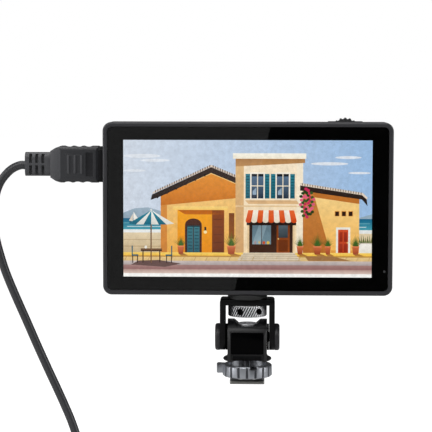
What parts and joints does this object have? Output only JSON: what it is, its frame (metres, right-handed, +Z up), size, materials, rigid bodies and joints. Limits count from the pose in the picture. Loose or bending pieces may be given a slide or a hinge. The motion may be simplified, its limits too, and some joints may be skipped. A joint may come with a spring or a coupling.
{
  "type": "camera field monitor",
  "caption": "Flat on-camera field monitor on a tilting, swivelling arm with a fluted lock ring and shoe foot, its picture lead plugged into the side.",
  "frame": {"origin": "centre of the shoe foot's underside, where it lies in a camera's accessory shoe", "axes": "+Z up along the arm, the screen faces -Y, +X towards the viewer's right"},
  "size_m": [0.2161, 0.0321, 0.2777],
  "materials": {
    "frame": "fine-textured dark grey",
    "shell": "fine-textured black moulding",
    "glass": "polished cover glass",
    "mask": "black print behind the glass",
    "rubber": "matt black rubber",
    "display": "lit display panel",
    "diffuser": "white diffuser",
    "plated_steel": "nickel-plated steel",
    "board": "green solder mask",
    "bare_aluminium": "plain extruded aluminium",
    "black_plastic": "moulded black",
    "sensor": "grey lens",
    "black_screw": "blackened steel",
    "dial_plastic": "satin black",
    "contact_brass": "gold-plated",
    "black_anodised": "black anodised, satin",
    "satin_silver": "satin silver anodised",
    "gloss_black": "polished black",
    "plug_plastic": "satin charcoal moulding",
    "lead_jacket": "satin charcoal jacket"
  },
  "bodies": {
    "shoe_foot": {"shoe_foot": "plated_steel", "swivel_bolt": "plated_steel", "swivel_washer": "plated_steel"},
    "lock_ring": {"lock_ring": "satin_silver"},
    "swivel_block": {"swivel_block": "black_anodised", "block_cover": "gloss_black", "pivot_screw_left": "plated_steel", "pivot_screw_right": "plated_steel", "pivot_cap_left": "black_anodised", "pivot_cap_right": "black_anodised", "friction_washers": "rubber"},
    "monitor": {"front_frame": "frame", "rear_cover": "shell", "cover_glass": "glass", "border_mask": "mask", "glass_gasket": "rubber", "display_panel": "display", "backlight": "diffuser", "panel_chassis": "plated_steel", "chassis_screws": "plated_steel", "main_board": "board", "heat_sink": "bare_aluminium", "fan_frame": "black_plastic", "picture_input": "plated_steel", "picture_output": "plated_steel", "headphone_jack": "black_plastic", "power_jack": "black_plastic", "update_socket": "plated_steel", "light_sensor": "sensor", "housing_screws": "black_screw", "dial_switch": "black_plastic", "dial_spring": "plated_steel", "power_switch": "black_plastic", "battery_plate": "black_plastic", "plate_screws": "black_screw", "battery_contacts": "contact_brass", "bottom_bush": "plated_steel", "side_bush": "plated_steel", "mount_pad": "rubber", "tilt_bracket": "black_anodised"},
    "fan_rotor": {"fan_rotor": "black_plastic"},
    "thumb_screw": {"thumb_wheel": "satin_silver", "thumb_screw": "plated_steel"},
    "dial_carriage": {"dial_carriage": "black_plastic", "dial_axle": "plated_steel"},
    "menu_dial": {"menu_dial": "dial_plastic"},
    "power_button": {"power_button": "dial_plastic"},
    "battery_latch": {"battery_latch": "dial_plastic"},
    "picture_lead": {"plug_shell": "plated_steel", "plug_grip": "plug_plastic", "plug_boot": "plug_plastic", "picture_lead": "lead_jacket", "camera_plug_boot": "plug_plastic", "camera_plug_grip": "plug_plastic", "camera_plug_shell": "plated_steel"}
  },
  "joints": [
    {"name": "lock_ring_turn", "type": "hinge", "parent": "shoe_foot", "child": "lock_ring", "pos_m": [0, 0, 0.0034], "axis": [0, 0, 1], "continuous": true},
    {"name": "arm_swivel", "type": "hinge", "parent": "shoe_foot", "child": "swivel_block", "pos_m": [0, 0, 0.0121], "axis": [0, 0, 1], "continuous": true},
    {"name": "arm_tilt", "type": "hinge", "parent": "swivel_block", "child": "monitor", "pos_m": [0, 0, 0.0244], "axis": [1, 0, 0], "range_deg": [-90, 90]},
    {"name": "thumb_screw_turn", "type": "hinge", "parent": "monitor", "child": "thumb_screw", "pos_m": [0, 0, 0.03905], "axis": [0, 0, 1], "continuous": true},
    {"name": "fan_spin", "type": "hinge", "parent": "monitor", "child": "fan_rotor", "pos_m": [0.04, 0.005, 0.09195], "axis": [0, 1, 0], "continuous": true},
    {"name": "dial_press", "type": "slide", "parent": "monitor", "child": "dial_carriage", "axis": [0, 0, -1], "range_m": [0, 0.0005], "stiffness_N_per_m": 2500, "springref_m": -0.0003, "deforming": ["dial_spring"]},
    {"name": "dial_turn", "type": "hinge", "parent": "dial_carriage", "child": "menu_dial", "pos_m": [0.052, 0.0047, 0.13385], "axis": [0, 1, 0], "continuous": true},
    {"name": "power_button_press", "type": "slide", "parent": "monitor", "child": "power_button", "axis": [0, 0, -1], "range_m": [0, 0.0004], "stiffness_N_per_m": 2500, "springref_m": -0.0003},
    {"name": "latch_press", "type": "slide", "parent": "monitor", "child": "battery_latch", "axis": [0, -1, 0], "range_m": [0, 0.0013], "stiffness_N_per_m": 1200, "springref_m": -0.0006},
    {"name": "plug_pull", "type": "slide", "parent": "monitor", "child": "picture_lead", "axis": [-1, 0, 0], "range_m": [0, 0.0125]}
  ]
}
